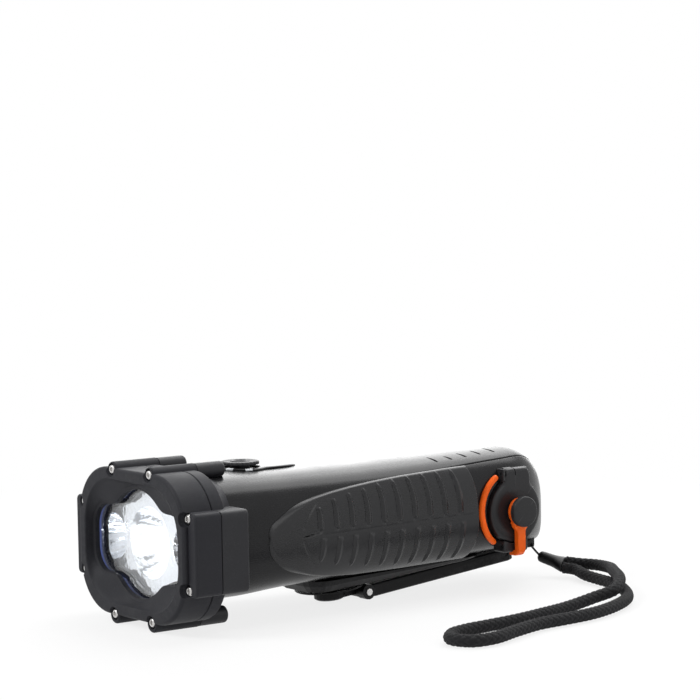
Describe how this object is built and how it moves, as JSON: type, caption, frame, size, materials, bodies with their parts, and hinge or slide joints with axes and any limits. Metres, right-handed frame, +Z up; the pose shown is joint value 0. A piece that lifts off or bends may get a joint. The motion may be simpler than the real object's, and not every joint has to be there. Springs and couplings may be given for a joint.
{
  "type": "hand crank flashlight",
  "caption": "Wide-headed dynamo torch on its folding crank, with a squarish guard bezel, a top button, leaf-shaped side grips, an orange-strapped side port cover and a wrist lanyard.",
  "frame": {"origin": "middle of the box round the torch without its lanyard, on the surface that it rests on", "axes": "+Y towards the tail (the beam points along -Y), +Z up, +X towards the flank with the port cover"},
  "size_m": [0.1657, 0.2144, 0.0652],
  "materials": {
    "guard_plastic": "fine-textured charcoal black",
    "shell_plastic": "satin black",
    "gloss_black": "glossy black",
    "black_rubber": "matte black",
    "orange_rubber": "satin bright orange",
    "clear_lens": "polished clear",
    "indicator_window": "frosted white",
    "mirror_coat": "vacuum-plated mirror",
    "emitter_resin": "clear dome over a yellow chip",
    "circuit_green": "lacquered",
    "stainless": "stainless, turned",
    "plated_steel": "nickel plated",
    "gear_nylon": "natural nylon",
    "magnet_steel": "nickelled magnet ring",
    "coil_copper": "varnished copper winding",
    "cell_wrap": "shrink-wrapped",
    "black_cord": "braided polyester"
  },
  "bodies": {
    "torch": {"bezel": "guard_plastic", "bezel_screw_top_1": "stainless", "bezel_screw_top_2": "stainless", "bezel_screw_bottom_1": "stainless", "bezel_screw_bottom_2": "stainless", "bezel_screw_left_1": "stainless", "bezel_screw_left_2": "stainless", "bezel_screw_right_1": "stainless", "bezel_screw_right_2": "stainless", "lens": "clear_lens", "lens_gasket": "black_rubber", "reflector": "mirror_coat", "emitter_board": "circuit_green", "emitter_left": "emitter_resin", "emitter_centre": "emitter_resin", "emitter_right": "emitter_resin", "main_housing": "shell_plastic", "grip_right": "black_rubber", "grip_left": "black_rubber", "button_surround": "gloss_black", "indicator_1": "indicator_window", "indicator_2": "indicator_window", "cover_hinge_pin": "stainless", "keeper_pin": "stainless", "port_seal": "orange_rubber", "charge_socket": "plated_steel", "gearbox_cover": "shell_plastic", "gearbox_screw_1": "stainless", "gearbox_screw_2": "stainless", "gearbox_screw_3": "stainless", "gearbox_screw_4": "stainless", "dynamo_stator": "coil_copper", "battery_tray": "gear_nylon", "battery_cell_1": "cell_wrap", "battery_cell_2": "cell_wrap", "battery_cell_3": "cell_wrap", "circuit_board": "circuit_green", "power_switch": "gloss_black", "lanyard_string": "black_cord", "lanyard_sleeve": "gloss_black", "lanyard_cord": "black_cord"},
    "button": {"power_button": "black_rubber"},
    "cover": {"port_cover": "black_rubber", "cover_strap": "orange_rubber"},
    "hub": {"crank_hub": "shell_plastic", "crank_gear": "gear_nylon", "arm_pin": "stainless"},
    "arm": {"crank_arm": "shell_plastic", "knob_pin": "stainless"},
    "knob": {"knob_stem": "stainless"},
    "knob_sleeve": {"knob_grip": "black_rubber"},
    "idler": {"idler_gear": "gear_nylon"},
    "rotor": {"dynamo_rotor": "magnet_steel"}
  },
  "joints": [
    {"name": "crank_turn", "type": "hinge", "parent": "torch", "child": "hub", "pos_m": [0, -0.0073, 0.00186], "axis": [0, -0.0976, 0.9952], "continuous": true},
    {"name": "arm_fold", "type": "hinge", "parent": "hub", "child": "arm", "pos_m": [0, 0.00604, 0.00317], "axis": [-1, 0, 0], "range_deg": [0, 110]},
    {"name": "knob_flip", "type": "hinge", "parent": "arm", "child": "knob", "pos_m": [0, 0.08022, 0.01104], "axis": [1, 0, 0], "range_deg": [0, 90]},
    {"name": "knob_spin", "type": "hinge", "parent": "knob", "child": "knob_sleeve", "pos_m": [0, 0.08022, 0.01104], "axis": [0, 0.9952, 0.0976], "continuous": true},
    {"name": "idler_spin", "type": "hinge", "parent": "torch", "child": "idler", "pos_m": [0, 0.01658, 0.0042], "axis": [0, -0.0976, 0.9952], "continuous": true},
    {"name": "rotor_spin", "type": "hinge", "parent": "torch", "child": "rotor", "pos_m": [0, 0.03569, 0.00608], "axis": [0, -0.0976, 0.9952], "continuous": true},
    {"name": "button_press", "type": "slide", "parent": "torch", "child": "button", "axis": [0, 0, -1], "range_m": [0, 0.0012], "stiffness_N_per_m": 600},
    {"name": "cover_open", "type": "hinge", "parent": "torch", "child": "cover", "pos_m": [0.02805, 0.0682, 0.04875], "axis": [0, -1, 0], "range_deg": [0, 110]}
  ],
  "couplings": [
    {"joint": "idler_spin", "follows": "crank_turn", "ratio": -4},
    {"joint": "rotor_spin", "follows": "crank_turn", "ratio": 12}
  ]
}
